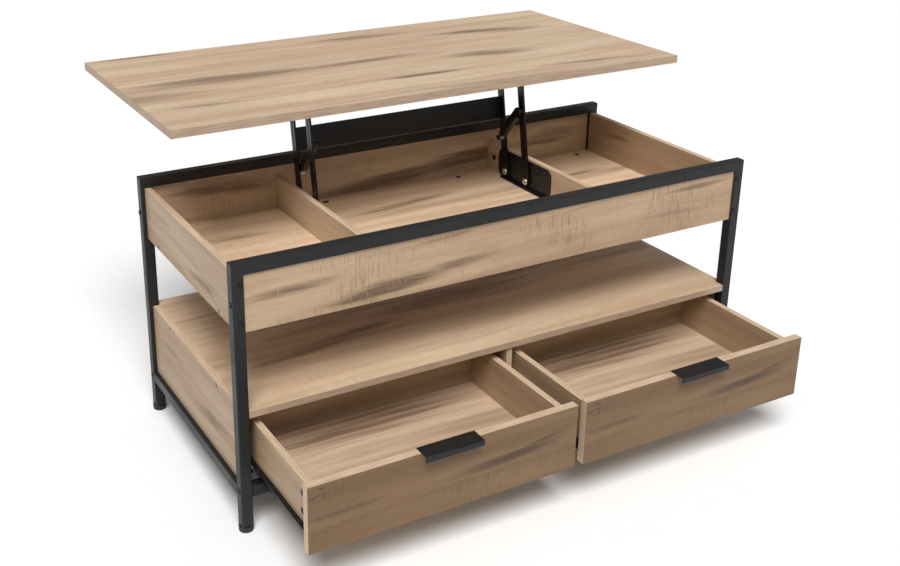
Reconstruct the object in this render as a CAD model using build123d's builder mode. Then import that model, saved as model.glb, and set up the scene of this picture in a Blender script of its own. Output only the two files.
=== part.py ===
from build123d import *
import math
import os

# Lift top coffee table: a black square-tube frame around wood-board boxes, two drawers on roller
# runners, and a top that swings up and back on two pairs of parallel arms.
# Millimetres, +Z up, X along the table, drawers towards -Y. The rest pose has the top raised and
# both drawers pulled out. Below, Y is measured from the middle of the frame, and drawer pieces are
# drawn closed; save() moves the finished pieces, so that the origin is the centre of the opened
# table's footprint, on the floor.

# ---- driving dimensions: frame and boards ----
frame_length = 1040
frame_depth = 460
frame_height = 480
tube = 20
tube_wall = 1.2
tube_corner = 2
board = 12
foot_height = 10
foot_radius = 12.5
foot_chamfer = 1.5
stem_radius = 8.6
stem_length = 15
lower_rail_z = 65
upper_box_z = 362
divider_top_z = 438
divider_x = 238
panel_inset = 8
apron_inset = 4
shelf_z = 212
top_length = 1060
top_depth = 506
top_thickness = 15

# ---- driving dimensions: drawers and runners ----
drawer_open = 205
front_thickness = 15
front_gap = 2
front_z = 87
front_top_z = 204
partition_gap = 3.5
box_z = 100
box_top_z = 193
box_length = 280
runner_gap = 13
bottom_thickness = 4
bottom_z = 110
groove_depth = 5
handle_length = 105
handle_steel = 1.5
handle_overhang = 16
handle_lip = 10
handle_flange = 16
runner_steel = 1.2
runner_start = 17
cabinet_runner_length = 300
under_flange = 10
rail_flange = 8.5
keeper_gap = 1.5
roller_radius = 8
roller_width = 6.5
roller_lift = 2
front_roller_y = 27
rear_roller_y = 15
axle_radius = 2.5
axle_lip = 1.5
axle_head = 0.8
running_clearance = 0.08
face_clearance = 0.3

# ---- driving dimensions: lift mechanism ----
arm_length = 214
arm_width = 18
arm_thickness = 4
arm_lean = 10
arm_x = 231
closed_gap = 0.6
pivot_spacing = 72
front_pivot_y = 68
base_pivot_z = 391
top_pivot_drop = 18
bracket_steel = 2
base_bracket_y = (-8, 172)
base_bracket_z = (376, 434)
base_corner = 14
base_flange = 8
base_flange_inset = 18
plate_corner = 5
top_bracket_height = 30
top_bracket_margin = 16
top_bracket_flange = 26
top_corner = 10
rivet_radius = 4
rivet_head_radius = 7
rivet_head = 2.5
rivet_head_round = 1.8
strut_reach = 145
strut_x = 225.2
housing_reach = 76.5
housing_width = 15
housing_rim = 2.5
housing_recess = 1.2
bore_radius = 3.5
bore_start = 14
rod_radius = 3
rod_length = 72
eye_radius = 7
eye_width = 11
pin_radius = 3
pin_head_radius = 5
pin_head = 2
cross_plate_start = 111
cross_plate_width = 45
cross_plate_fold = 5

# ---- driving dimensions: fasteners ----
screw_head_radius = 3.8
screw_shank_radius = 2
screw_point_taper = 35
screw_length = 35
short_screw_length = 12
bolt_radius = 3
bolt_bite = 25
bolt_head_radius = 4.5
bolt_head = 1.5
socket_radius = 2
socket_depth = 1
cam_radius = 6
cam_depth = 9
cam_slot_length = 7
cam_slot_width = 1.4
cam_slot_depth = 1.5
end_bolt_drop = 16
end_bolt_rise = 18
side_bolt_rise = 48
floor_screw_y = 148
shelf_screw_y = 116
floor_cam_x = (-461, -153, 153, 461)
floor_cam_y = 197
divider_cam_y = 192
divider_cam_z = 405
bracket_screw_inset = (12, 10)
top_screw_inset = 10
drawer_cam_z = (138, 170)
drawer_cam_inset = 24
handle_screw_spread = 32
handle_screw_drop = 9

# ---- places worked out from them ----
half_length = frame_length / 2
half_depth = frame_depth / 2
inner_x = half_length - tube
inner_y = half_depth - tube
rail_under = frame_height - tube
panel_x = half_length - panel_inset
apron_y = half_depth - apron_inset
apron_back_y = apron_y - board
apron_middle_y = -apron_y + board / 2
upper_back_middle_y = half_depth - board / 2
floor_top = upper_box_z + board
lower_rail_top = lower_rail_z + tube
rear_pivot_y = front_pivot_y + pivot_spacing
bracket_x = divider_x - bracket_steel

# The arms turn about X. Their angles are measured from -Y upwards, and both stay parallel, so the
# top keeps level while it moves back and up.
raised_angle = math.radians(90 + arm_lean)
arm_way = Vector(0, -math.cos(raised_angle), math.sin(raised_angle))
front_pivot = Vector(0, front_pivot_y, base_pivot_z)
rear_pivot = Vector(0, rear_pivot_y, base_pivot_z)
top_underside = base_pivot_z + arm_length * arm_way.Z + top_pivot_drop
closed_rise = frame_height + closed_gap - top_pivot_drop - base_pivot_z
closed_angle = math.asin(closed_rise / arm_length)
top_shift = arm_length * (arm_way.Y + math.cos(closed_angle))

# The strut pins sit one pivot spacing apart along the arms, so the strut turns exactly half as far
# as the arms do, and its rod stays in line with its cylinder.
upper_pin = front_pivot + arm_way * strut_reach
lower_pin = rear_pivot + arm_way * (strut_reach - pivot_spacing)

# The opened table reaches from the drawer handles to the back edge of the raised top.
open_front_y = -half_depth - drawer_open - handle_overhang
open_back_y = top_shift + top_depth / 2
origin_y = (open_front_y + open_back_y) / 2

os.makedirs("parts", exist_ok=True)


def save(part, name, slide=0):
    """Write one piece, with its label, moved into the table's own frame."""
    placed = part.moved(Location((0, slide - origin_y, 0)))
    placed.label = name
    export_step(placed, f"parts/{name}.step")


def save_pair(part, name):
    """Write a right-hand piece and its mirror image as two nodes."""
    save(part, f"{name}_right")
    save(mirror(part, about=Plane.YZ), f"{name}_left")


def save_group(parts, name, slide=0):
    """Write several separate solids as one node."""
    save(Compound(children=list(parts)), name, slide)


def board_between(x_range, y_range, z_range, cuts=()):
    """A board between three pairs of faces, cut by what is let into it."""
    middle = ((x_range[0] + x_range[1]) / 2, (y_range[0] + y_range[1]) / 2, z_range[0])
    with BuildPart() as piece:
        with BuildSketch(Plane(origin=middle)):
            Rectangle(abs(x_range[1] - x_range[0]), abs(y_range[1] - y_range[0]))
        extrude(amount=z_range[1] - z_range[0])
        for cut in cuts:
            add(cut, mode=Mode.SUBTRACT)
    return piece.part


def square_tube(plane, length):
    """A welded square tube that starts on the plane and runs along its normal."""
    inside = tube - 2 * tube_wall
    with BuildPart() as piece:
        with BuildSketch(plane):
            RectangleRounded(tube, tube, tube_corner)
            RectangleRounded(inside, inside, tube_corner - tube_wall, mode=Mode.SUBTRACT)
        extrude(amount=length)
    return piece.part


def round_bar(start, direction, radius, length):
    """A plain round bar."""
    with BuildPart() as piece:
        with BuildSketch(Plane(origin=start, z_dir=direction)):
            Circle(radius)
        extrude(amount=length)
    return piece.part


def countersunk_screw(head_centre, direction, length):
    """A flush wood screw: cone head, straight shank and tapered point."""
    plane = Plane(origin=head_centre, z_dir=direction)
    cone = screw_head_radius - screw_shank_radius
    with BuildPart() as screw:
        with BuildSketch(plane):
            Circle(screw_head_radius)
        with BuildSketch(plane.offset(cone)):
            Circle(screw_shank_radius)
        loft()
        with BuildSketch(plane.offset(cone)):
            Circle(screw_shank_radius)
        extrude(amount=length - 2 * cone)
        with BuildSketch(plane.offset(length - cone)):
            Circle(screw_shank_radius)
        extrude(amount=cone, taper=screw_point_taper)
    return screw.part


def frame_bolt(face_centre, direction):
    """A button head bolt through a post and into the board or rail end behind it."""
    plane = Plane(origin=face_centre, z_dir=direction)
    with BuildPart() as bolt:
        with BuildSketch(plane):
            Circle(bolt_radius)
        extrude(amount=tube + bolt_bite)
        with BuildSketch(plane):
            Circle(bolt_head_radius)
        extrude(amount=-bolt_head)
        with BuildSketch(plane.offset(-bolt_head)):
            RegularPolygon(socket_radius, 6)
        extrude(amount=socket_depth, mode=Mode.SUBTRACT)
    return bolt.part


def cam_nut(face_centre, direction):
    """A flush cam lock nut with a cross slot in its face."""
    plane = Plane(origin=face_centre, z_dir=direction)
    with BuildPart() as cam:
        with BuildSketch(plane):
            Circle(cam_radius)
        extrude(amount=cam_depth)
        with BuildSketch(plane):
            Rectangle(cam_slot_length, cam_slot_width)
            Rectangle(cam_slot_width, cam_slot_length)
        extrude(amount=cam_slot_depth, mode=Mode.SUBTRACT)
    return cam.part


# ---- frame fasteners first, because each one cuts its own hole ----
end_bolts = []
side_bolts = []
for side in (-1, 1):
    for end, panel_y in ((-1, apron_middle_y), (1, upper_back_middle_y)):
        for z in (upper_box_z + end_bolt_rise, rail_under - end_bolt_drop):
            head = (side * (panel_x - board / 2), end * half_depth, z)
            end_bolts.append(frame_bolt(head, (0, -end, 0)))
        rail_end = (side * half_length, end * (half_depth - tube / 2), lower_rail_z + tube / 2)
        panel_end = (side * half_length, panel_y, upper_box_z + side_bolt_rise)
        for head in (rail_end, panel_end):
            side_bolts.append(frame_bolt(head, (-side, 0, 0)))
frame_bolts = end_bolts + side_bolts
save_group(frame_bolts, "frame_bolts")

panel_screws = []
rail_screws = []
for side in (-1, 1):
    for z, reach in ((upper_box_z + board / 2, floor_screw_y), (shelf_z + board / 2, shelf_screw_y)):
        for y in (-reach, reach):
            head = (side * panel_x, y, z)
            panel_screws.append(countersunk_screw(head, (-side, 0, 0), screw_length))
    for y in (apron_middle_y, upper_back_middle_y):
        head = (side * (divider_x + board / 2), y, frame_height)
        rail_screws.append(countersunk_screw(head, (0, 0, -1), screw_length))
bracket_screws = []
inset_y, inset_z = bracket_screw_inset
for side in (-1, 1):
    for y in (base_bracket_y[0] + inset_y, base_bracket_y[1] - inset_y):
        for z in (base_bracket_z[0] + inset_z, base_bracket_z[1] - inset_z):
            head = (side * bracket_x, y, z)
            bracket_screws.append(countersunk_screw(head, (side, 0, 0), short_screw_length))
save_group(panel_screws + rail_screws + bracket_screws, "wood_screws")

cam_places = []
for x in floor_cam_x:
    for y in (-floor_cam_y, floor_cam_y):
        cam_places.append(((x, y, floor_top), (0, 0, -1)))
for side in (-1, 1):
    for y in (-divider_cam_y, divider_cam_y):
        cam_places.append(((side * divider_x, y, divider_cam_z), (side, 0, 0)))
save_group([cam_nut(face, inwards) for face, inwards in cam_places], "cam_nuts")
cam_pockets = [round_bar(face, inwards, cam_radius, cam_depth) for face, inwards in cam_places]

# ---- steel frame: mitred posts and top rails ----
for end, end_name in ((-1, "front"), (1, "back")):
    rail_y = end * (half_depth - tube / 2)
    mitres = []
    for side in (-1, 1):
        mitres.append(Plane(origin=(side * half_length, 0, frame_height), z_dir=(side, 0, -1)))
    for side, side_name, mitre in zip((-1, 1), ("left", "right"), mitres):
        foot_of_post = Plane(origin=(side * (half_length - tube / 2), rail_y, foot_height))
        with BuildPart() as post:
            add(square_tube(foot_of_post, frame_height - foot_height))
            split(bisect_by=mitre, keep=Keep.TOP)
            for bolt in frame_bolts:
                add(bolt, mode=Mode.SUBTRACT)
        save(post.part, f"post_{end_name}_{side_name}")
    rail_start = Plane(origin=(-half_length, rail_y, rail_under + tube / 2), z_dir=(1, 0, 0))
    with BuildPart() as top_rail:
        add(square_tube(rail_start, frame_length))
        for mitre in mitres:
            split(bisect_by=mitre, keep=Keep.BOTTOM)
        for screw in rail_screws:
            add(screw, mode=Mode.SUBTRACT)
    save(top_rail.part, f"top_rail_{end_name}")

# ---- lower rails, between the posts ----
rail_z = lower_rail_z + tube / 2
long_rails = []
side_rails = []
for side in (-1, 1):
    long_start = Plane(origin=(-inner_x, side * (half_depth - tube / 2), rail_z), z_dir=(1, 0, 0))
    long_rails.append(square_tube(long_start, 2 * inner_x))
    side_start = Plane(origin=(side * (half_length - tube / 2), -inner_y, rail_z), z_dir=(0, 1, 0))
    side_rails.append(square_tube(side_start, 2 * inner_y))
save_group(long_rails, "lower_long_rails")
save_group(side_rails, "lower_side_rails")

# ---- round plastic glides pushed into the posts ----
feet = []
for side in (-1, 1):
    for end in (-1, 1):
        centre = (side * (half_length - tube / 2), end * (half_depth - tube / 2), 0)
        with BuildPart() as foot:
            with BuildSketch(Plane(origin=centre)):
                Circle(foot_radius)
            extrude(amount=foot_height)
            chamfer(foot.edges().sort_by(Axis.Z)[0], foot_chamfer)
            with BuildSketch(Plane(origin=centre).offset(foot_height)):
                Circle(stem_radius)
            extrude(amount=stem_length)
        feet.append(foot.part)
save_group(feet, "feet")

# ---- upper box: apron, back, two sides, floor and two dividers ----
full_x = (-inner_x, inner_x)
upper_z = (upper_box_z, rail_under)
front_apron = board_between(full_x, (-apron_y, -apron_back_y), upper_z, side_bolts + rail_screws)
save(front_apron, "front_apron")
upper_back = board_between(full_x, (half_depth - board, half_depth), upper_z, side_bolts + rail_screws)
save(upper_back, "upper_back_panel")
upper_side = board_between((inner_x, panel_x), (-inner_y, inner_y), upper_z, end_bolts + panel_screws)
save_pair(upper_side, "upper_side_panel")
compartment_y = (-apron_back_y, half_depth - board)
floor_z = (upper_box_z, floor_top)
compartment_floor = board_between(full_x, compartment_y, floor_z, panel_screws + cam_pockets)
save(compartment_floor, "compartment_floor")
divider_z = (floor_top, divider_top_z)
divider_cuts = bracket_screws + cam_pockets
divider = board_between((divider_x, divider_x + board), compartment_y, divider_z, divider_cuts)
save_pair(divider, "divider")

# ---- lower box: two sides, shelf, partition and back ----
lower_side = board_between(
    (inner_x, panel_x), (-inner_y, inner_y), (lower_rail_top, shelf_z + board), panel_screws
)
save_pair(lower_side, "lower_side_panel")
shelf = board_between(full_x, (-half_depth, half_depth), (shelf_z, shelf_z + board), panel_screws)
save(shelf, "shelf")
lower_z = (lower_rail_top, shelf_z)
partition = board_between((-board / 2, board / 2), (-apron_y, apron_back_y), lower_z)
save(partition, "drawer_partition")
lower_back = board_between(full_x, (apron_back_y, apron_y), lower_z)
save(lower_back, "lower_back_panel")

# ---- drawers, drawn for the right-hand bay and repeated in the left-hand one ----
box_near_x = board / 2 + runner_gap
box_far_x = inner_x - runner_gap
front_x = (board / 2 + partition_gap, inner_x - front_gap)
front_back_y = -half_depth + front_thickness
box_back_y = front_back_y + box_length
box_heights = (box_z, box_top_z)
bay_shift = -(board / 2 + inner_x)
handle_x = (front_x[0] + front_x[1]) / 2
handle_back_y = front_back_y + handle_steel

drawer_cams = []
drawer_cam_pockets = []
for z in drawer_cam_z:
    for x, inwards in ((box_far_x, (-1, 0, 0)), (box_near_x, (1, 0, 0))):
        face = (x, front_back_y + drawer_cam_inset, z)
        drawer_cams.append(cam_nut(face, inwards))
        drawer_cam_pockets.append(round_bar(face, inwards, cam_radius, cam_depth))
handle_screws = []
for x in (handle_x - handle_screw_spread, handle_x + handle_screw_spread):
    head = (x, handle_back_y, front_top_z - handle_screw_drop)
    handle_screws.append(countersunk_screw(head, (0, -1, 0), short_screw_length))

drawer_bottom = board_between(
    (box_near_x + board - groove_depth, box_far_x - board + groove_depth),
    (front_back_y - groove_depth, box_back_y - board + groove_depth),
    (bottom_z, bottom_z + bottom_thickness),
)
front_cuts = [drawer_bottom] + handle_screws
side_cuts = [drawer_bottom] + drawer_cam_pockets
drawer_front = board_between(front_x, (-half_depth, front_back_y), (front_z, front_top_z), front_cuts)
side_y = (front_back_y, box_back_y)
near_side = board_between((box_near_x, box_near_x + board), side_y, box_heights, side_cuts)
far_side = board_between((box_far_x - board, box_far_x), side_y, box_heights, side_cuts)
back_x = (box_near_x + board, box_far_x - board)
drawer_back = board_between(back_x, (box_back_y - board, box_back_y), box_heights, [drawer_bottom])

# The handle is one folded strip over the front's top edge: lip, plate and screwed rear flange.
plate_top = front_top_z + handle_steel
lip_y = -half_depth - handle_overhang
with BuildPart() as handle:
    with BuildSketch(Plane.YZ.offset(handle_x - handle_length / 2)):
        with BuildLine():
            Polyline(
                (lip_y, plate_top - handle_lip),
                (lip_y, plate_top),
                (handle_back_y, plate_top),
                (handle_back_y, plate_top - handle_flange),
                (front_back_y, plate_top - handle_flange),
                (front_back_y, front_top_z),
                (lip_y + handle_steel, front_top_z),
                (lip_y + handle_steel, plate_top - handle_lip),
                close=True,
            )
        make_face()
    extrude(amount=handle_length)
    outer_bends = handle.edges().filter_by(Axis.X).group_by(Axis.Z)[-1]
    fillet(outer_bends, handle_steel)
    for screw in handle_screws:
        add(screw, mode=Mode.SUBTRACT)

# Runners: the drawer member wraps the side's lower edge and carries a roller at its rear end; the
# cabinet member is screwed to the bay wall and carries a roller at its front end. Both are drawn for
# the far side of the right-hand bay; the near side is their mirror image in the bay's middle plane.
bay_middle = Plane(origin=((box_near_x + box_far_x) / 2, 0, 0), z_dir=(1, 0, 0))
roller_x = box_far_x + runner_gap / 2
runner_z = box_z - runner_steel
front_roller_z = box_z + roller_radius + roller_lift
rear_roller_z = box_z + roller_radius + face_clearance
track_z = front_roller_z + roller_radius + face_clearance
track_top = track_z + runner_steel
keeper_top = track_top + keeper_gap + runner_steel
runner_y = -half_depth + runner_start
front_axle = Vector(inner_x - runner_steel, -half_depth + front_roller_y, front_roller_z)
rear_axle = Vector(box_far_x + runner_steel, box_back_y - rear_roller_y, rear_roller_z)
collar_length = (runner_gap - roller_width) / 2 - runner_steel - face_clearance
axle_length = collar_length + roller_width + 2 * face_clearance


def strip(x_range, z_range, length):
    """One flat wall of a folded runner."""
    return board_between(x_range, (runner_y, runner_y + length), z_range)


def axle(start, direction):
    """A riveted stub axle, with a collar and a head that keep its roller in place."""
    lip_radius = axle_radius + axle_lip
    with BuildPart() as stub:
        add(round_bar(start, direction, axle_radius, axle_length))
        add(round_bar(start, direction, lip_radius, collar_length))
        add(round_bar(start + Vector(direction) * axle_length, direction, lip_radius, axle_head))
    return stub.part


def roller(centre_y, centre_z):
    """A plastic roller with a running bore."""
    plane = Plane(origin=(roller_x - roller_width / 2, centre_y, centre_z), z_dir=(1, 0, 0))
    with BuildPart() as wheel:
        with BuildSketch(plane):
            Circle(roller_radius)
            Circle(axle_radius + running_clearance, mode=Mode.SUBTRACT)
        extrude(amount=roller_width)
    return wheel.part


drawer_length = box_back_y - runner_y
with BuildPart() as drawer_member:
    add(strip((box_far_x, box_far_x + runner_steel), (runner_z, track_top), drawer_length))
    add(strip((box_far_x - under_flange, box_far_x + runner_steel), (runner_z, box_z), drawer_length))
    add(strip((box_far_x, box_far_x + rail_flange), (track_z, track_top), drawer_length))
    add(axle(rear_axle, (1, 0, 0)))
cabinet_flange_x = (inner_x - under_flange, inner_x)
with BuildPart() as cabinet_member:
    add(strip((inner_x - runner_steel, inner_x), (runner_z, keeper_top), cabinet_runner_length))
    add(strip(cabinet_flange_x, (runner_z, box_z), cabinet_runner_length))
    add(strip(cabinet_flange_x, (keeper_top - runner_steel, keeper_top), cabinet_runner_length))
    add(axle(front_axle, (-1, 0, 0)))
cabinet_roller = roller(front_axle.Y, front_roller_z)
drawer_roller = roller(rear_axle.Y, rear_roller_z)

cabinet_members = []
for name, shift in (("right", 0), ("left", bay_shift)):
    bay = Location((shift, 0, 0))
    pieces = {
        "front": [drawer_front],
        "side_right": [far_side],
        "side_left": [near_side],
        "back": [drawer_back],
        "bottom": [drawer_bottom],
        "handle": [handle.part],
        "runners": [drawer_member.part, mirror(drawer_member.part, about=bay_middle)],
        "rollers": [drawer_roller, mirror(drawer_roller, about=bay_middle)],
        "fasteners": drawer_cams + handle_screws,
    }
    for piece, solids in pieces.items():
        moved = [solid.moved(bay) for solid in solids]
        if len(moved) == 1:
            save(moved[0], f"drawer_{name}_{piece}", -drawer_open)
        else:
            save_group(moved, f"drawer_{name}_{piece}", -drawer_open)
    fixed_rollers = [cabinet_roller, mirror(cabinet_roller, about=bay_middle)]
    save_group([solid.moved(bay) for solid in fixed_rollers], f"cabinet_rollers_{name}")
    cabinet_members.append(cabinet_member.part.moved(bay))
    cabinet_members.append(mirror(cabinet_member.part, about=bay_middle).moved(bay))
save_group(cabinet_members, "cabinet_runners")

# ---- lift mechanism, drawn for the right-hand unit and mirrored ----
arm_turn = 180 - math.degrees(raised_angle)
top_front_pivot = front_pivot + arm_way * arm_length
top_rear_pivot = rear_pivot + arm_way * arm_length


def pivot_rivet(pivot):
    """A shouldered rivet: head, shank through the arm, spacer and shank through the bracket."""
    head_x = arm_x - face_clearance
    with BuildPart() as rivet:
        with BuildSketch(Plane.YZ.offset(head_x)):
            with Locations((pivot.Y, pivot.Z)):
                Circle(rivet_head_radius)
        extrude(amount=-rivet_head)
        fillet(rivet.edges().sort_by(Axis.X)[0], rivet_head_round)
        with BuildSketch(Plane.YZ.offset(head_x)):
            with Locations((pivot.Y, pivot.Z)):
                Circle(rivet_radius)
        extrude(amount=divider_x - head_x)
        with BuildSketch(Plane.YZ.offset(arm_x + arm_thickness + face_clearance)):
            with Locations((pivot.Y, pivot.Z)):
                Circle(rivet_head_radius)
        extrude(amount=bracket_x - arm_x - arm_thickness - face_clearance)
    return rivet.part


def lift_arm(pivot, pin_reach):
    """A flat arm with a running bore at each end and a headed stud for the strut."""
    middle = pivot + arm_way * (arm_length / 2)
    far_end = pivot + arm_way * arm_length
    pin = pivot + arm_way * pin_reach
    stud_length = arm_x - strut_x + eye_width / 2 + face_clearance
    with BuildPart() as arm:
        with BuildSketch(Plane.YZ.offset(arm_x)):
            with Locations((middle.Y, middle.Z)):
                SlotCenterToCenter(arm_length, arm_width, rotation=arm_turn)
            with Locations((pivot.Y, pivot.Z), (far_end.Y, far_end.Z)):
                Circle(rivet_radius + running_clearance, mode=Mode.SUBTRACT)
        extrude(amount=arm_thickness)
        with BuildSketch(Plane.YZ.offset(arm_x)):
            with Locations((pin.Y, pin.Z)):
                Circle(pin_radius)
        extrude(amount=-stud_length)
        with BuildSketch(Plane.YZ.offset(arm_x - stud_length)):
            with Locations((pin.Y, pin.Z)):
                RegularPolygon(pin_head_radius, 6)
        extrude(amount=-pin_head)
    return arm.part


base_rivets = [pivot_rivet(front_pivot), pivot_rivet(rear_pivot)]
top_rivets = [pivot_rivet(top_front_pivot), pivot_rivet(top_rear_pivot)]
save_group(base_rivets + [mirror(rivet, about=Plane.YZ) for rivet in base_rivets], "base_rivets")
save_group(top_rivets + [mirror(rivet, about=Plane.YZ) for rivet in top_rivets], "top_rivets")
save_pair(lift_arm(front_pivot, strut_reach), "front_arm")
save_pair(lift_arm(rear_pivot, strut_reach - pivot_spacing), "rear_arm")

# Base bracket: a plate on the divider with a stiffening flange under the arms.
with BuildPart() as base_bracket:
    with BuildSketch(Plane.YZ.offset(bracket_x)) as plate:
        with Locations((sum(base_bracket_y) / 2, sum(base_bracket_z) / 2)):
            Rectangle(base_bracket_y[1] - base_bracket_y[0], base_bracket_z[1] - base_bracket_z[0])
        fillet(plate.vertices().group_by(Axis.Z)[0], base_corner)
        fillet(plate.vertices().group_by(Axis.Z)[-1], plate_corner)
    extrude(amount=bracket_steel)
    flange_y = (base_bracket_y[0] + base_flange_inset, base_bracket_y[1] - base_flange_inset)
    flange_z = (base_bracket_z[0], base_bracket_z[0] + bracket_steel)
    add(board_between((bracket_x - base_flange, bracket_x), flange_y, flange_z))
    for cut in base_rivets + bracket_screws:
        add(cut, mode=Mode.SUBTRACT)
save_pair(base_bracket.part, "base_bracket")

# Top bracket: an angle under the top, with its pivots in the standing plate.
top_bracket_y = (top_front_pivot.Y - top_bracket_margin, top_rear_pivot.Y + top_bracket_margin)
middle_y = sum(top_bracket_y) / 2
top_screws = []
for y in (top_bracket_y[0] + top_screw_inset, middle_y, top_bracket_y[1] - top_screw_inset):
    head = (divider_x + top_bracket_flange / 2, y, top_underside - bracket_steel)
    top_screws.append(countersunk_screw(head, (0, 0, 1), short_screw_length))
with BuildPart() as top_bracket:
    with BuildSketch(Plane.YZ.offset(bracket_x)) as plate:
        with Locations((middle_y, top_underside - top_bracket_height / 2)):
            Rectangle(top_bracket_y[1] - top_bracket_y[0], top_bracket_height)
        fillet(plate.vertices().group_by(Axis.Z)[0], top_corner)
    extrude(amount=bracket_steel)
    flange_x = (bracket_x, divider_x + top_bracket_flange)
    add(board_between(flange_x, top_bracket_y, (top_underside - bracket_steel, top_underside)))
    for cut in top_rivets + top_screws:
        add(cut, mode=Mode.SUBTRACT)
save_pair(top_bracket.part, "top_bracket")
top_screws += [mirror(screw, about=Plane.YZ) for screw in top_screws]
save_group(top_screws, "top_screws")

# Cross plate: joins the two rear arms, with its ends folded against them.
arm_plane = Plane(origin=rear_pivot, x_dir=(1, 0, 0), z_dir=arm_way)
with BuildPart() as cross_plate:
    with BuildSketch(arm_plane.offset(cross_plate_start)):
        with Locations((0, arm_width / 2 - bracket_steel / 2)):
            Rectangle(2 * arm_x, bracket_steel)
        with Locations(
            (bracket_steel / 2 - arm_x, (arm_width - cross_plate_fold) / 2),
            (arm_x - bracket_steel / 2, (arm_width - cross_plate_fold) / 2),
        ):
            Rectangle(bracket_steel, cross_plate_fold)
    extrude(amount=cross_plate_width)
save(cross_plate.part, "cross_plate")

# Struts: a flat housing hinged on the front arm, and a rod hinged on the rear arm that slides in it.
strut_way = (lower_pin - upper_pin).normalized()
strut_turn = math.degrees(math.atan2(strut_way.Z, strut_way.Y))
housing_middle = upper_pin + strut_way * (housing_reach / 2)
eye_plane = Plane.YZ.offset(strut_x - eye_width / 2)

with BuildPart() as strut_housing:
    with BuildSketch(eye_plane):
        with Locations((housing_middle.Y, housing_middle.Z)):
            SlotCenterToCenter(housing_reach, housing_width, rotation=strut_turn)
    extrude(amount=eye_width)
    with BuildSketch(eye_plane):
        with Locations((housing_middle.Y, housing_middle.Z)):
            SlotCenterToCenter(housing_reach, housing_width - 2 * housing_rim, rotation=strut_turn)
    extrude(amount=housing_recess, mode=Mode.SUBTRACT)
    with BuildSketch(eye_plane):
        with Locations((upper_pin.Y, upper_pin.Z)):
            Circle(pin_radius + running_clearance)
    extrude(amount=eye_width, mode=Mode.SUBTRACT)
    housing_axis = Plane(origin=(strut_x, upper_pin.Y, upper_pin.Z), z_dir=strut_way)
    with BuildSketch(housing_axis.offset(bore_start)):
        Circle(bore_radius)
    extrude(amount=housing_reach, mode=Mode.SUBTRACT)

with BuildPart() as strut_rod:
    with BuildSketch(Plane(origin=(strut_x, lower_pin.Y, lower_pin.Z), z_dir=strut_way * -1)):
        Circle(rod_radius)
    extrude(amount=rod_length)
    with BuildSketch(eye_plane):
        with Locations((lower_pin.Y, lower_pin.Z)):
            Circle(eye_radius)
    extrude(amount=eye_width)
    with BuildSketch(eye_plane):
        with Locations((lower_pin.Y, lower_pin.Z)):
            Circle(pin_radius + running_clearance)
    extrude(amount=eye_width, mode=Mode.SUBTRACT)

save_group([strut_housing.part, mirror(strut_housing.part, about=Plane.YZ)], "strut_housings")
save_group([strut_rod.part, mirror(strut_rod.part, about=Plane.YZ)], "strut_rods")

# ---- the top itself ----
tabletop = board_between(
    (-top_length / 2, top_length / 2),
    (top_shift - top_depth / 2, top_shift + top_depth / 2),
    (top_underside, top_underside + top_thickness),
    top_screws,
)
save(tabletop, "tabletop")
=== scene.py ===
import math

import bpy
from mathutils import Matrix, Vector


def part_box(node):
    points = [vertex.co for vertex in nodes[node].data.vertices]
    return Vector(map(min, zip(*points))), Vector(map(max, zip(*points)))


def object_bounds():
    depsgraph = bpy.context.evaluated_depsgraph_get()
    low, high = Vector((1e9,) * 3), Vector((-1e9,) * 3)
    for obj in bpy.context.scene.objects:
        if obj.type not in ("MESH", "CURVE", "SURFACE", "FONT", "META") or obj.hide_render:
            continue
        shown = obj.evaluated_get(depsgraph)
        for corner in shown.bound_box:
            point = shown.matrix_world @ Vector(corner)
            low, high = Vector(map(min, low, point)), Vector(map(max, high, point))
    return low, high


# Looks for a lift top coffee table: printed oak boards, a powder coated steel frame, lift arms,
# and two drawers on rollers. Every CAD node is kept and gets a node material. Boards, arms and
# handles also get fine edges.

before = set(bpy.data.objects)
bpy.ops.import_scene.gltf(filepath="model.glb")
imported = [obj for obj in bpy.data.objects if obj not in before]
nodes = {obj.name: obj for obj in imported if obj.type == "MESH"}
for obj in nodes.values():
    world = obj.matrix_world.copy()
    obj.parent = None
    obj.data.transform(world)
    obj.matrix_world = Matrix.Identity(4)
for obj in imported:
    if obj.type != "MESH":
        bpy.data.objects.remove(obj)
cad_low, cad_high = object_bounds()

# ---- axes, as places in a vector ----
X, Y, Z = 0, 1, 2

# ---- camera: from the front left, a little above ----
CAMERA_AZIMUTH = math.radians(-28.36)
CAMERA_ELEVATION = math.radians(20.4)
CAMERA_DISTANCE = 2.131
CAMERA_TARGET = Vector((-0.1495, -0.0204, 0.4563))
CAMERA_LENS = 47.19
CAMERA_SHIFT = (0.083, -0.10)

# ---- light and floor ----
WORLD_COLOR = (1, 1, 1, 1)
WORLD_STRENGTH = 0.31
KEY_BACK = Vector((-0.24, -0.49, 0.84))
KEY_STRENGTH = 3.3
KEY_SOFTNESS = math.radians(30)
FLOOR_SIZE = 200.0
FLOOR_DARKER = (0.87, 0.87, 0.87, 1)
FLOOR_LIGHTER = (0.90, 0.90, 0.90, 1)

# ---- fine edges, in metres ----
BOARD_EDGE = 0.0006
STEEL_EDGE = 0.0004
EDGE_SEGMENTS = 2
WELD_DISTANCE = 0.00001
SHARP_ANGLE = math.radians(35)
FLAT_ANGLE = math.radians(1)

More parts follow.
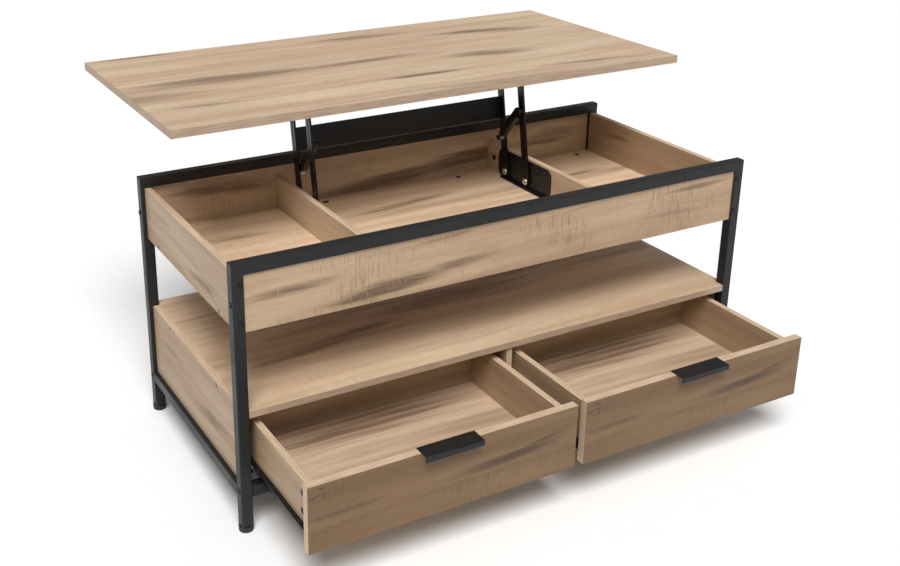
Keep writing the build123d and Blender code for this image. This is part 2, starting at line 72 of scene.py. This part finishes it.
# ---- oak colours, linear; the tones multiply the print, and the tone of the tray floor is painted light ----
OAK_LIGHT = (0.68, 0.52, 0.36, 1)
OAK_MID = (0.51, 0.36, 0.235, 1)
OAK_BROWN = (0.215, 0.132, 0.082, 1)
OAK_DARK = (0.115, 0.070, 0.045, 1)
OAK_CHALK = (0.70, 0.55, 0.40, 1)
PLAIN = (1.0, 1.0, 1.0)
# painted light: lightens the tray's floor board, where the tabletop above shades it
PAINTED_LIGHT_TONE = (1.2, 1.19, 1.18)
WARM = (0.74, 0.70, 0.64)
TAN = (0.79, 0.75, 0.69)
BROWN = (0.31, 0.235, 0.155)

# ---- edge banding: the band, and the lines in it ----
PALE_BAND = (0.62, 0.475, 0.335, 1)
PALE_BAND_LINE = (0.46, 0.325, 0.215, 1)
PINK_BAND = (0.46, 0.335, 0.235, 1)
PINK_BAND_LINE = (0.34, 0.23, 0.155, 1)

# ---- noises in the oak: features per metre along, across and through the grain, then the
# detail and the roughness of the noise ----
DRIFT_NOISE = ((2.2, 7, 7), 2.0, 0.5)
FRAY_NOISE = ((16, 130, 130), 3.0, 0.6)
BAND_NOISE = ((1.5, 26, 26), 4.0, 0.6)
CLOUD_NOISE = ((2.6, 9, 9), 2.0, 0.5)
FINE_NOISE = ((11, 330, 330), 3.0, 0.65)
HAIR_NOISE = ((34, 1100, 1100), 2.0, 0.5)
STRAY_NOISE = ((0.9, 11, 11), 3.0, 0.55)
FILAMENT_NOISE = ((2.4, 80, 80), 3.0, 0.6)
SAW_PATCH_NOISE = ((6, 14, 14), 2.0, 0.5)
SAW_CUT_NOISE = ((640, 30, 30), 3.0, 0.6)
CHALK_NOISE = ((260, 60, 60), 3.0, 0.6)
BAND_LINE_NOISE = ((18, 700, 700), 3.0, 0.6)

# ---- smooth steps in the oak: from, to, and where they start and end if not at 0 and 1 ----
BAND_STEP = (0.33, 0.66)
CLOUD_STEP = (0.42, 0.75, 0.0, 0.55)
SPOT_STEP = (0.15, 1.2, 1.0, 0.0)
STREAK_STEP = (0.16, 1.10)
STRAY_STEP = (0.57, 0.72, 0.0, 0.7)
STREAK_FILAMENT_STEP = (0.30, 0.60, 0.72, 1.0)
STREAK_FINE_STEP = (0.25, 0.60, 0.78, 1.0)
STREAK_CORE_STEP = (0.6, 1.0)
SAW_PATCH_STEP = (0.46, 0.62)
SAW_CUT_STEP = (0.53, 0.63)
CHALK_STEP = (0.56, 0.72)
FINE_STEP = (0.3, 0.7, 0.16, 0.0)
HAIR_STEP = (0.35, 0.65, 0.10, 0.0)
BAND_LINE_STEP = (0.36, 0.62)
OAK_GLOSS_STEP = (0.3, 0.7, 0.56, 0.44)

# ---- other numbers of the oak ----
NOISE_MIDDLE = 0.5
SEED_MOVE = (1.7, 0.9, 0.31)
WAVE_WIDTH = 0.035
RAGGED_LENGTH = 0.07
RAGGED_ACROSS = 0.13
FEATHER = 1.25
STREAK_CORE = 0.4
SAW_STRENGTH = 0.62
CHALK_STRENGTH = 0.35
SAW_DEPTH = 1.5
OAK_BUMP = (0.22, 0.0004)
FACE_LIMIT = 0.6

# ---- coated steel, bare metal and plastic ----
MIDDLE_STEP = (0.3, 0.7)
COAT_SPECULAR = 0.34
COAT_PATCHES = ((14, 14, 14), 3.0, 0.5)
COAT_LIGHTER = 1.35
COAT_DARKER = 0.8
COAT_BUMP = (0.12, 0.0002)
COAT_GLOSS = (-0.05, 0.06)
METAL_STAINS = ((260, 260, 260), 3.0, 0.5)
METAL_STAIN_STEP = (0.45, 0.8)
METAL_DARKER = 0.7
METAL_BUMP = (0.1, 0.0001)
METAL_GLOSS = (-0.06, 0.08)
PLASTIC_FLOW = ((60, 60, 20), 2.0, 0.5)
PLASTIC_FLOW_STEP = (0.35, 0.7)
PLASTIC_DARKER = 0.82
PLASTIC_BUMP = (0.2, 0.0002)
PLASTIC_GLOSS = (-0.05, 0.05)
FLOOR_FIBRES = ((30, 30, 30), 3.0, 0.5)
FLOOR_ROUGHNESS = (0.7, 0.8)


class Shade:
    """A node material. Most methods add a node and return its output."""

    def __init__(self, name):
        self.material = bpy.data.materials.new(name)
        self.material.use_nodes = True
        self.tree = self.material.node_tree
        self.tree.nodes.clear()
        self.place = self.tree.nodes.new("ShaderNodeTexCoord")
        self.shader = self.tree.nodes.new("ShaderNodeBsdfPrincipled")
        output = self.tree.nodes.new("ShaderNodeOutputMaterial")
        self.tree.links.new(self.shader.outputs["BSDF"], output.inputs["Surface"])

    def put(self, value, socket):
        """Link an output to a socket, or set the socket's own value."""
        if isinstance(value, bpy.types.NodeSocket):
            self.tree.links.new(value, socket)
        else:
            socket.default_value = value

    def math(self, operation, first, second=0.0):
        node = self.tree.nodes.new("ShaderNodeMath")
        node.operation = operation
        self.put(first, node.inputs[0])
        self.put(second, node.inputs[1])
        return node.outputs[0]

    def swing(self, noise, reach):
        """A noise as a move to either side, of up to about half the reach."""
        centred = self.math("SUBTRACT", noise, NOISE_MIDDLE)
        return self.math("MULTIPLY", centred, reach)

    def split(self, vector):
        node = self.tree.nodes.new("ShaderNodeSeparateXYZ")
        self.put(vector, node.inputs[0])
        return node.outputs

    def join(self, x, y, z=0.0):
        node = self.tree.nodes.new("ShaderNodeCombineXYZ")
        for value, socket in zip((x, y, z), node.inputs):
            self.put(value, socket)
        return node.outputs[0]

    def vector_math(self, operation, vector, constant):
        node = self.tree.nodes.new("ShaderNodeVectorMath")
        node.operation = operation
        self.put(vector, node.inputs[0])
        node.inputs[1].default_value = constant
        return node.outputs[0]

    def noise(self, vector, scale, detail, roughness):
        """Noise with its own scale along each axis, in features per metre."""
        node = self.tree.nodes.new("ShaderNodeTexNoise")
        self.put(self.vector_math("MULTIPLY", vector, scale), node.inputs["Vector"])
        node.inputs["Scale"].default_value = 1.0
        node.inputs["Detail"].default_value = detail
        node.inputs["Roughness"].default_value = roughness
        return node.outputs[0]

    def ramp(self, value, low, high, start=0.0, end=1.0):
        """A smooth step from start to end, as the value goes from low to high."""
        node = self.tree.nodes.new("ShaderNodeMapRange")
        node.interpolation_type = "SMOOTHSTEP"
        for given, socket in zip((value, low, high, start, end), node.inputs):
            self.put(given, socket)
        return node.outputs[0]

    def mix(self, factor, first, second):
        """A colour from first to second, as the factor goes from 0 to 1."""
        node = self.tree.nodes.new("ShaderNodeMix")
        node.data_type = "RGBA"
        factor_socket, first_socket, second_socket = node.inputs[0], node.inputs[6], node.inputs[7]
        self.put(factor, factor_socket)
        self.put(first, first_socket)
        self.put(second, second_socket)
        return next(socket for socket in node.outputs if socket.type == "RGBA")

    def ellipse(self, vector, middle, reach, turn):
        """1 in the middle of a long ellipse, fading to 0 just outside it."""
        node = self.tree.nodes.new("ShaderNodeMapping")
        node.vector_type = "TEXTURE"
        self.put(vector, node.inputs["Vector"])
        node.inputs["Location"].default_value = (*middle, 0)
        node.inputs["Rotation"].default_value = (0, 0, turn)
        node.inputs["Scale"].default_value = (*reach, 1)
        length = self.tree.nodes.new("ShaderNodeVectorMath")
        length.operation = "LENGTH"
        self.put(node.outputs[0], length.inputs[0])
        return self.ramp(length.outputs["Value"], *SPOT_STEP)

    def bump(self, height, strength, distance):
        node = self.tree.nodes.new("ShaderNodeBump")
        node.inputs["Strength"].default_value = strength
        node.inputs["Distance"].default_value = distance
        self.put(height, node.inputs["Height"])
        self.put(node.outputs[0], self.shader.inputs["Normal"])

    def finish(self, color, roughness, metallic=0.0):
        self.put(color, self.shader.inputs["Base Color"])
        self.put(roughness, self.shader.inputs["Roughness"])
        self.shader.inputs["Metallic"].default_value = metallic
        return self.material


# ---- printed oak ----
class OakShade(Shade):
    """Printed oak on one board. Face and grain are axes: the way it faces, and the way it runs."""

    def __init__(self, name, board, face, grain, seed):
        super().__init__(name)
        low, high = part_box(board)
        middle = (low + high) / 2
        axes = self.split(self.vector_math("ADD", self.place.outputs["Object"], tuple(-middle)))
        across_axis = X + Y + Z - face - grain
        self.face = face
        self.along, across, through = axes[grain], axes[across_axis], axes[face]
        move = tuple(part * seed for part in SEED_MOVE)
        printed = self.join(self.along, across, through)
        self.print_place = self.vector_math("ADD", printed, move)
        drift = self.noise(self.print_place, *DRIFT_NOISE)
        self.waved = self.math("ADD", across, self.swing(drift, WAVE_WIDTH))
        waved_place = self.join(self.along, self.waved, through)
        self.line_place = self.vector_math("ADD", waved_place, move)
        self.bands = self.noise(self.line_place, *BAND_NOISE)
        self.fine = self.noise(self.line_place, *FINE_NOISE)

    def base_color(self):
        """Light bands on mid oak, with slow clouds of the mid colour."""
        clouds = self.noise(self.print_place, *CLOUD_NOISE)
        banded = self.mix(self.ramp(self.bands, *BAND_STEP), OAK_MID, OAK_LIGHT)
        return self.mix(self.ramp(clouds, *CLOUD_STEP), banded, OAK_MID)

    def streak_and_painted_shade_mask(self, streaks_and_shade):
        """How much of each place is darkened: the placed ellipses, and a few stray streak lines.

        Each ellipse is (along, across, half length, half width, tilt in degrees, strength),
        in metres from the middle of the board. Most are printed streak marks; the broad ones
        given for the shelf and the drawer bottoms are painted shade.
        """
        ragged = self.swing(self.noise(self.print_place, *FRAY_NOISE), RAGGED_LENGTH)
        torn_across = self.math("ADD", self.waved, self.math("MULTIPLY", ragged, RAGGED_ACROSS))
        torn = self.join(self.math("ADD", self.along, ragged), torn_across)
        streaks_and_shade_so_far = 0.0
        for along, across, reach, width, turn, strength in streaks_and_shade:
            spot = self.ellipse(torn, (along, across), (reach, width), math.radians(turn))
            streaks_and_shade_so_far = self.math("MAXIMUM", streaks_and_shade_so_far, self.math("MULTIPLY", spot, strength))
        filaments = self.noise(self.line_place, *FILAMENT_NOISE)
        feathered = self.math("ADD", streaks_and_shade_so_far, self.swing(filaments, FEATHER))
        stray = self.noise(self.line_place, *STRAY_NOISE)
        mask = self.math("MAXIMUM", self.ramp(stray, *STRAY_STEP), self.ramp(feathered, *STREAK_STEP))
        mask = self.math("MULTIPLY", mask, self.ramp(filaments, *STREAK_FILAMENT_STEP))
        return self.math("MULTIPLY", mask, self.ramp(self.fine, *STREAK_FINE_STEP))

    def add_streaks_and_painted_shade(self, color, streaks_and_shade):
        # Darkens the print under the mask: printed streak marks, and on the shelf and the drawer
        # bottoms painted shade as well.
        mask = self.streak_and_painted_shade_mask(streaks_and_shade)
        core = self.math("MULTIPLY", self.ramp(mask, *STREAK_CORE_STEP), STREAK_CORE)
        return self.mix(core, self.mix(mask, color, OAK_BROWN), OAK_DARK)

    def saw_marks(self, sawn):
        """Short cuts across the grain, in patches."""
        patches = self.ramp(self.noise(self.print_place, *SAW_PATCH_NOISE), *SAW_PATCH_STEP)
        cuts = self.ramp(self.noise(self.print_place, *SAW_CUT_NOISE), *SAW_CUT_STEP)
        return self.math("MULTIPLY", self.math("MULTIPLY", cuts, patches), SAW_STRENGTH * sawn)

    def add_chalk(self, color, sawn):
        chalk = self.noise(self.print_place, *CHALK_NOISE)
        strength = self.ramp(chalk, *CHALK_STEP, 0.0, CHALK_STRENGTH * sawn)
        return self.mix(strength, color, OAK_CHALK)

    def add_fine_grain(self, color):
        hair = self.noise(self.line_place, *HAIR_NOISE)
        color = self.mix(self.ramp(self.fine, *FINE_STEP), color, OAK_BROWN)
        return self.mix(self.ramp(hair, *HAIR_STEP), color, OAK_BROWN)

    def add_edge_banding(self, color, band, band_line):
        """Banding on the narrow faces, told from the printed faces by the way they face."""
        lines = self.noise(self.print_place, *BAND_LINE_NOISE)
        banding = self.mix(self.ramp(lines, *BAND_LINE_STEP), band_line, band)
        facing = self.math("ABSOLUTE", self.split(self.place.outputs["Normal"])[self.face])
        return self.mix(self.math("LESS_THAN", facing, FACE_LIMIT), color, banding)


def oak(name, board, face, grain, seed, sawn, streaks_and_shade=(), tone=PLAIN, pink=False):
    """Printed oak for one board, more or less sawn, with its own tone and its own ellipses of printed
    streak and painted shade.
    """
    shade = OakShade(name, board, face, grain, seed)
    color = shade.add_streaks_and_painted_shade(shade.base_color(), streaks_and_shade)
    saw_marks = shade.saw_marks(sawn)
    color = shade.mix(saw_marks, color, OAK_BROWN)
    color = shade.add_chalk(color, sawn)
    color = shade.add_fine_grain(color)
    color = shade.vector_math("MULTIPLY", color, tone)
    band, band_line = (PINK_BAND, PINK_BAND_LINE) if pink else (PALE_BAND, PALE_BAND_LINE)
    color = shade.add_edge_banding(color, band, band_line)
    height = shade.math("SUBTRACT", shade.fine, shade.math("MULTIPLY", saw_marks, SAW_DEPTH))
    shade.bump(height, *OAK_BUMP)
    return shade.finish(color, shade.ramp(shade.bands, *OAK_GLOSS_STEP))


# ---- metals and plastics ----
def shaded(color, factor):
    """A colour with its red, green and blue multiplied by one factor."""
    red, green, blue = color[:3]
    return (factor * red, factor * green, factor * blue, 1)


def gloss_around(roughness, spread):
    """The two ends of a roughness that varies a little around its middle."""
    below, above = spread
    return (roughness + below, roughness + above)


def powder_coat(name, color, roughness, grit):
    """Satin powder coat: fine grit in the surface, and slightly uneven gloss."""
    shade = Shade(name)
    place = shade.place.outputs["Object"]
    grains = shade.noise(place, (grit, grit, grit), 2.0, 0.5)
    patches = shade.noise(place, *COAT_PATCHES)
    lighter = shaded(color, COAT_LIGHTER)
    darker = shaded(color, COAT_DARKER)
    shade.bump(grains, *COAT_BUMP)
    tone = shade.mix(shade.ramp(grains, *MIDDLE_STEP), darker, lighter)
    shade.shader.inputs["Specular IOR Level"].default_value = COAT_SPECULAR
    return shade.finish(tone, shade.ramp(patches, *MIDDLE_STEP, *gloss_around(roughness, COAT_GLOSS)))


def bare_metal(name, color, roughness, scratch):
    """Bright metal with fine scratches along one axis and small stains."""
    shade = Shade(name)
    place = shade.place.outputs["Object"]
    scratches = shade.noise(place, scratch, 2.0, 0.6)
    stains = shade.noise(place, *METAL_STAINS)
    shade.bump(scratches, *METAL_BUMP)
    tone = shade.mix(shade.ramp(stains, *METAL_STAIN_STEP), color, shaded(color, METAL_DARKER))
    gloss = shade.ramp(scratches, *MIDDLE_STEP, *gloss_around(roughness, METAL_GLOSS))
    return shade.finish(tone, gloss, metallic=1.0)


def moulded(name, color, roughness, grain):
    """Moulded plastic with a fine spark-eroded grain."""
    shade = Shade(name)
    place = shade.place.outputs["Object"]
    grains = shade.noise(place, (grain, grain, grain), 2.0, 0.5)
    flow = shade.noise(place, *PLASTIC_FLOW)
    shade.bump(grains, *PLASTIC_BUMP)
    tone = shade.mix(shade.ramp(flow, *PLASTIC_FLOW_STEP), shaded(color, PLASTIC_DARKER), color)
    return shade.finish(tone, shade.ramp(grains, *MIDDLE_STEP, *gloss_around(roughness, PLASTIC_GLOSS)))


# ---- where the streak and shade ellipses are: along, across, half length, half width, tilt, strength ----
TOP_STREAKS = (
    (-0.33, 0.012, 0.30, 0.040, -1, 0.95),
    (-0.06, 0.004, 0.24, 0.024, 2, 0.75),
    (0.03, 0.198, 0.17, 0.022, -5, 0.95),
    (0.22, -0.057, 0.14, 0.030, -6, 0.85),
    (0.0, -0.145, 0.15, 0.014, -2, 0.9),
    (0.33, 0.118, 0.20, 0.030, -8, 0.95),
    (-0.43, 0.240, 0.16, 0.010, 0, 0.9),
    (-0.42, -0.137, 0.10, 0.014, -3, 0.75),
    (0.38, -0.208, 0.22, 0.012, -6, 0.8),
)
DRAWER_STREAKS = (
    (0.11, 0.002, 0.15, 0.013, 3, 0.95),
    (0.19, 0.016, 0.08, 0.007, 6, 0.8),
    (-0.18, 0.002, 0.10, 0.012, -3, 0.6),
    (-0.02, -0.030, 0.17, 0.013, 2, 0.5),
    (-0.225, 0.047, 0.016, 0.0032, 0, 0.9),
    (-0.234, 0.034, 0.006, 0.005, 20, 0.8),
)
APRON_STREAKS = (
    (-0.42, 0.012, 0.12, 0.013, 2, 0.95),
    (-0.24, -0.022, 0.15, 0.020, 3, 1.0),
    (-0.10, -0.008, 0.13, 0.014, 4, 0.8),
    (-0.14, 0.042, 0.09, 0.007, 3, 0.8),
    (0.40, 0.030, 0.10, 0.010, 2, 0.85),
    (0.36, -0.020, 0.08, 0.012, 0, 0.45),
    (0.12, 0.036, 0.12, 0.006, 2, 0.5),
)
# The shelf's ellipses are printed streaks, except the broad last one: painted shade over the middle and
# back of the shelf, where the tray above shades it.
SHELF_STREAKS_AND_PAINTED_SHADE = (
    (-0.28, -0.075, 0.24, 0.030, 9, 0.9),
    (-0.27, -0.005, 0.18, 0.020, 6, 0.75),
    (0.02, -0.01, 0.30, 0.055, 2, 0.95),
    (0.30, 0.06, 0.20, 0.045, 3, 0.95),
    # painted shade under the tray
    (0.04, 0.09, 0.70, 0.150, 2, 1.0),
)
BACK_STREAKS = (
    (-0.02, -0.026, 0.22, 0.026, 4, 1.0),
    (0.18, -0.010, 0.16, 0.030, 3, 1.0),
    (-0.36, 0.02, 0.14, 0.026, -3, 0.9),
    (0.40, 0.01, 0.12, 0.022, 4, 0.9),
)
SIDE_STREAKS = (
    (-0.08, -0.022, 0.11, 0.013, -5, 0.9),
    (0.12, 0.018, 0.07, 0.010, 0, 0.6),
)
FLOOR_STREAKS = (
    (-0.02, 0.12, 0.18, 0.020, 5, 0.9),
    (0.37, 0.10, 0.12, 0.016, 4, 0.8),
    (-0.38, 0.11, 0.11, 0.016, -4, 0.8),
    (-0.40, 0.00, 0.10, 0.012, 8, 0.6),
)
# Drawer bottoms: the broad first ellipse is painted shade at the back, where the shelf above shades the
# drawer; the second is a printed streak.
BOTTOM_STREAKS_AND_PAINTED_SHADE = (
    # painted shade under the shelf
    (-0.02, 0.095, 0.30, 0.060, 2, 0.95),
    (0.05, -0.045, 0.10, 0.010, 4, 0.4),
)

# ---- boards across the table: face, grain, seed, how sawn, streak and shade ellipses ----
boards = {
    "tabletop": oak("oak_top", "tabletop", Z, X, 0.4, 0.35, TOP_STREAKS, pink=True),
    "shelf": oak("oak_shelf", "shelf", Z, X, 1.3, 0.45, SHELF_STREAKS_AND_PAINTED_SHADE, pink=True),
    "front_apron": oak("oak_apron", "front_apron", Y, X, 2.1, 1.0, APRON_STREAKS, TAN),
    "upper_back_panel": oak("oak_upper_back", "upper_back_panel", Y, X, 3.2, 0.7, BACK_STREAKS),
    "lower_back_panel": oak("oak_lower_back", "lower_back_panel", Y, X, 4.6, 0.7, BACK_STREAKS),
    # the tray floor's tone is painted light, lighter all over where the tabletop shades it
    "compartment_floor": oak("oak_floor", "compartment_floor", Z, X, 5.2, 0.3, FLOOR_STREAKS, PAINTED_LIGHT_TONE),
    "drawer_partition": oak("oak_partition", "drawer_partition", X, Y, 6.3, 0.4),
}

# ---- boards that come in pairs: the side panels and dividers differ from side to side ----
UPPER_SIDE_SEED = 7.4
LOWER_SIDE_SEED = 9.1
DIVIDER_SEED = 11.7
for number, place in enumerate(("left", "right")):
    upper = f"upper_side_panel_{place}"
    lower = f"lower_side_panel_{place}"
    divider = f"divider_{place}"
    boards[upper] = oak(f"oak_{upper}", upper, X, Y, UPPER_SIDE_SEED + number, 0.25, SIDE_STREAKS, WARM)
    boards[lower] = oak(f"oak_{lower}", lower, X, Y, LOWER_SIDE_SEED + number, 0.25, SIDE_STREAKS, WARM)
    boards[divider] = oak(f"oak_{divider}", divider, X, Y, DIVIDER_SEED + number, 0.3)

# ---- drawer boards: both drawers have the same print ----
for place in ("left", "right"):
    front = f"drawer_{place}_front"
    bottom = f"drawer_{place}_bottom"
    back = f"drawer_{place}_back"
    boards[front] = oak(f"oak_{front}", front, Y, X, 13.9, 1.0, DRAWER_STREAKS, BROWN)
    boards[bottom] = oak(f"oak_{bottom}", bottom, Z, X, 15.2, 0.2, BOTTOM_STREAKS_AND_PAINTED_SHADE)
    boards[back] = oak(f"oak_{back}", back, Y, X, 16.8, 0.3, tone=WARM)
    for wall in ("side_left", "side_right"):
        side = f"drawer_{place}_{wall}"
        boards[side] = oak(f"oak_{side}", side, X, Y, 17.3, 0.25, tone=WARM)

# ---- metal and plastic: colour, roughness, grain in features per metre ----
frame_black = powder_coat("frame_powder_coat", (0.0110, 0.0113, 0.0120), 0.46, 2600)
arm_black = powder_coat("arm_powder_coat", (0.0060, 0.0060, 0.0063), 0.30, 3200)
handle_black = powder_coat("handle_powder_coat", (0.0070, 0.0070, 0.0074), 0.40, 3000)
fastener_black = powder_coat("fastener_black", (0.0025, 0.0025, 0.0027), 0.32, 4200)
foot_black = moulded("foot_plastic", (0.012, 0.012, 0.012, 1), 0.55, 1800)
roller_white = moulded("roller_nylon", (0.72, 0.71, 0.66, 1), 0.42, 1500)
rivet_bright = bare_metal("rivet_zinc", (0.72, 0.72, 0.70, 1), 0.28, (500, 500, 3000))
rod_steel = bare_metal("rod_steel", (0.38, 0.38, 0.39, 1), 0.26, (4000, 300, 300))

# ---- which node has which finish ----
SIDES = ("left", "right")
FRAME_NODES = [f"post_{end}_{side}" for end in ("front", "back") for side in SIDES]
FRAME_NODES += ["top_rail_front", "top_rail_back", "lower_long_rails", "lower_side_rails"]
ARM_PIECES = ("base_bracket", "front_arm", "rear_arm", "top_bracket")
ARM_NODES = [f"{piece}_{side}" for piece in ARM_PIECES for side in SIDES]
ARM_NODES += ["strut_housings"]
HANDLE_NODES = [f"drawer_{side}_handle" for side in SIDES]
RUNNER_NODES = ["cabinet_runners"] + [f"drawer_{side}_runners" for side in SIDES]
ROLLER_NODES = [f"drawer_{side}_rollers" for side in SIDES]
ROLLER_NODES += [f"cabinet_rollers_{side}" for side in SIDES]
FASTENER_NODES = ["frame_bolts", "wood_screws", "cam_nuts", "top_screws"]
FASTENER_NODES += [f"drawer_{side}_fasteners" for side in SIDES]
FINISH_GROUPS = (
    (frame_black, FRAME_NODES + ["cross_plate"]),
    (arm_black, ARM_NODES + RUNNER_NODES),
    (handle_black, HANDLE_NODES),
    (fastener_black, FASTENER_NODES),
    (foot_black, ["feet"]),
    (roller_white, ROLLER_NODES),
    (rivet_bright, ["base_rivets", "top_rivets"]),
    (rod_steel, ["strut_rods"]),
)
finishes = dict(boards)
for finish, names in FINISH_GROUPS:
    finishes.update({name: finish for name in names})


def fine_edges(piece, width, flat):
    """Break the sharp edges of a CAD node, so that they catch the light."""
    weld = piece.modifiers.new("weld", "WELD")
    weld.merge_threshold = WELD_DISTANCE
    if flat:
        plain = piece.modifiers.new("plain_faces", "DECIMATE")
        plain.decimate_type = "DISSOLVE"
        plain.angle_limit = FLAT_ANGLE
    bevel = piece.modifiers.new("fine_edges", "BEVEL")
    bevel.width = width
    bevel.segments = EDGE_SEGMENTS
    bevel.limit_method = "ANGLE"
    bevel.angle_limit = SHARP_ANGLE
    bevel.harden_normals = True


steel_edged = ARM_NODES + HANDLE_NODES + ["cross_plate"]
for name, piece in nodes.items():
    piece.data.materials.clear()
    piece.data.materials.append(finishes[name])
    if name in boards:
        fine_edges(piece, BOARD_EDGE, flat=True)
    elif name in steel_edged:
        fine_edges(piece, STEEL_EDGE, flat=False)

# ---- floor ----
bpy.ops.mesh.primitive_plane_add(size=FLOOR_SIZE, location=(0, 0, cad_low.z))
floor = bpy.context.object
floor.name = "floor"
paper = Shade("floor_paper")
fibres = paper.noise(paper.place.outputs["Object"], *FLOOR_FIBRES)
floor_color = paper.mix(fibres, FLOOR_DARKER, FLOOR_LIGHTER)
floor_roughness = paper.ramp(fibres, *MIDDLE_STEP, *FLOOR_ROUGHNESS)
floor.data.materials.append(paper.finish(floor_color, floor_roughness))

# ---- world and key light ----
world = bpy.data.worlds.new("soft_studio")
world.use_nodes = True
background = world.node_tree.nodes["Background"]
background.inputs["Color"].default_value = WORLD_COLOR
background.inputs["Strength"].default_value = WORLD_STRENGTH
bpy.context.scene.world = world


def aimed(name, data, back):
    """An object with this data, linked to the scene, whose back is towards a direction."""
    thing = bpy.data.objects.new(name, data)
    thing.rotation_mode = "QUATERNION"
    thing.rotation_quaternion = (-back).to_track_quat("-Z", "Y")
    bpy.context.scene.collection.objects.link(thing)
    return thing


key_data = bpy.data.lights.new("key", "SUN")
key_data.energy = KEY_STRENGTH
key_data.angle = KEY_SOFTNESS
aimed("key", key_data, KEY_BACK)

# ---- camera ----
camera_back = Vector((
    math.sin(CAMERA_AZIMUTH) * math.cos(CAMERA_ELEVATION),
    -math.cos(CAMERA_AZIMUTH) * math.cos(CAMERA_ELEVATION),
    math.sin(CAMERA_ELEVATION),
))
camera_data = bpy.data.cameras.new("camera")
camera_data.lens = CAMERA_LENS
camera_data.shift_x, camera_data.shift_y = CAMERA_SHIFT
camera = aimed("camera", camera_data, camera_back)
camera.location = CAMERA_TARGET + camera_back * CAMERA_DISTANCE
bpy.context.scene.camera = camera
bpy.context.scene.view_settings.view_transform = "Standard"
